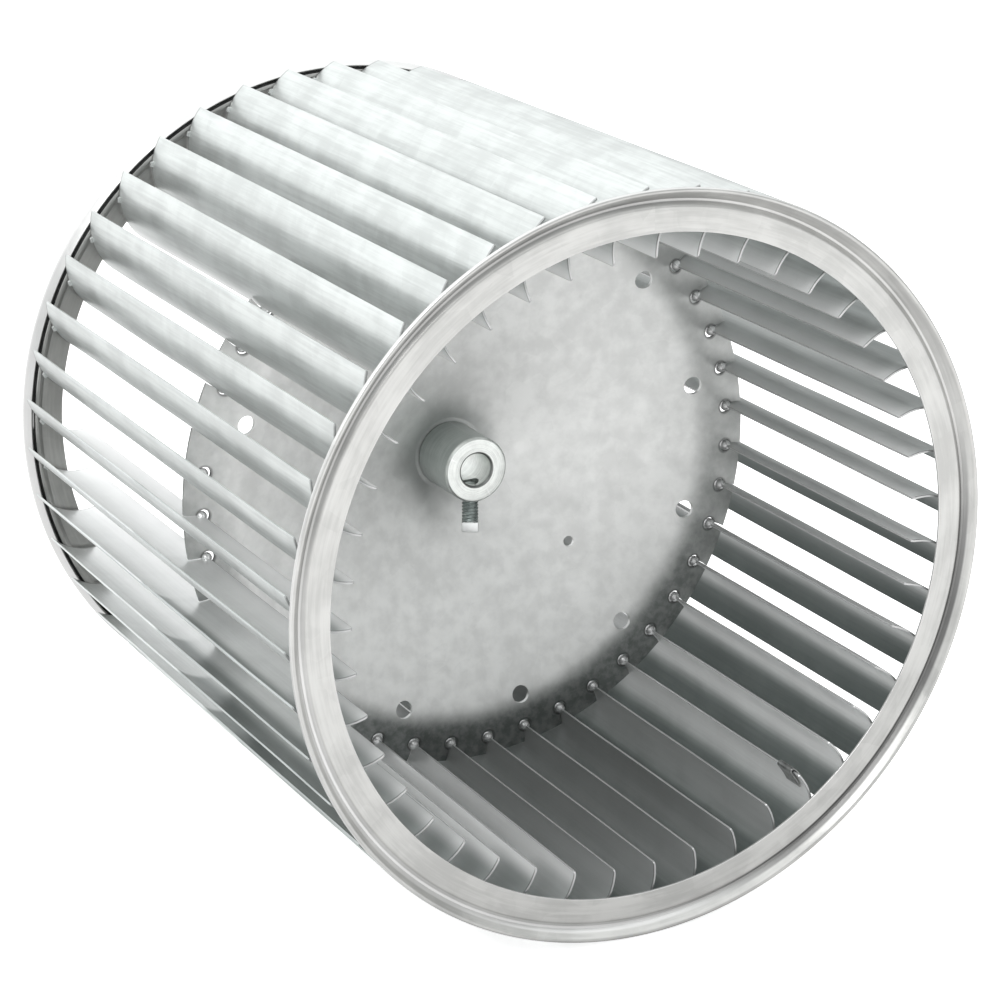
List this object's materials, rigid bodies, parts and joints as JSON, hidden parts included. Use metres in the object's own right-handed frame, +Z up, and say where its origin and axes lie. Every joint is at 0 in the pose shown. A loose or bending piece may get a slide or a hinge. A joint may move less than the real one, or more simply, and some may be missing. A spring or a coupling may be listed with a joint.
{
  "type": "blower motor wheel",
  "caption": "Double-inlet centrifugal blower wheel: forward-curved blades through a dished centre disc, two rolled end rings, and a hub with a square-head set screw.",
  "frame": {"origin": "centre of the wheel: on its axis, midway between the outer faces of the two end rings", "axes": "+Y along the wheel's axis from the front inlet to the rear inlet, +Z up, +X to the right seen from the front. The hub and its set screw are on the front side, and the set screw points to -Z"},
  "size_m": [0.27, 0.26, 0.27],
  "materials": {
    "galvanised": "galvanised sheet, satin",
    "blade": "galvanised sheet, satin",
    "disc": "galvanised sheet, dull",
    "hub": "turned steel",
    "screw": "zinc plated",
    "clip": "spring steel"
  },
  "bodies": {
    "wheel": {"front_end_ring": "galvanised", "rear_end_ring": "galvanised", "centre_disc": "disc", "hub": "hub", "balance_clip": "clip", "blade_01": "blade", "blade_02": "blade", "blade_03": "blade", "blade_04": "blade", "blade_05": "blade", "blade_06": "blade", "blade_07": "blade", "blade_08": "blade", "blade_09": "blade", "blade_10": "blade", "blade_11": "blade", "blade_12": "blade", "blade_13": "blade", "blade_14": "blade", "blade_15": "blade", "blade_16": "blade", "blade_17": "blade", "blade_18": "blade", "blade_19": "blade", "blade_20": "blade", "blade_21": "blade", "blade_22": "blade", "blade_23": "blade", "blade_24": "blade", "blade_25": "blade", "blade_26": "blade", "blade_27": "blade", "blade_28": "blade", "blade_29": "blade", "blade_30": "blade", "blade_31": "blade", "blade_32": "blade", "blade_33": "blade", "blade_34": "blade", "blade_35": "blade", "blade_36": "blade", "blade_37": "blade", "blade_38": "blade", "blade_39": "blade", "blade_40": "blade", "blade_41": "blade", "blade_42": "blade", "blade_43": "blade"},
    "screw": {"set_screw": "screw"}
  },
  "joints": [
    {"name": "set_screw_travel", "type": "slide", "parent": "wheel", "child": "screw", "axis": [0, 0, 1], "range_m": [-0.005, 0.008]}
  ]
}
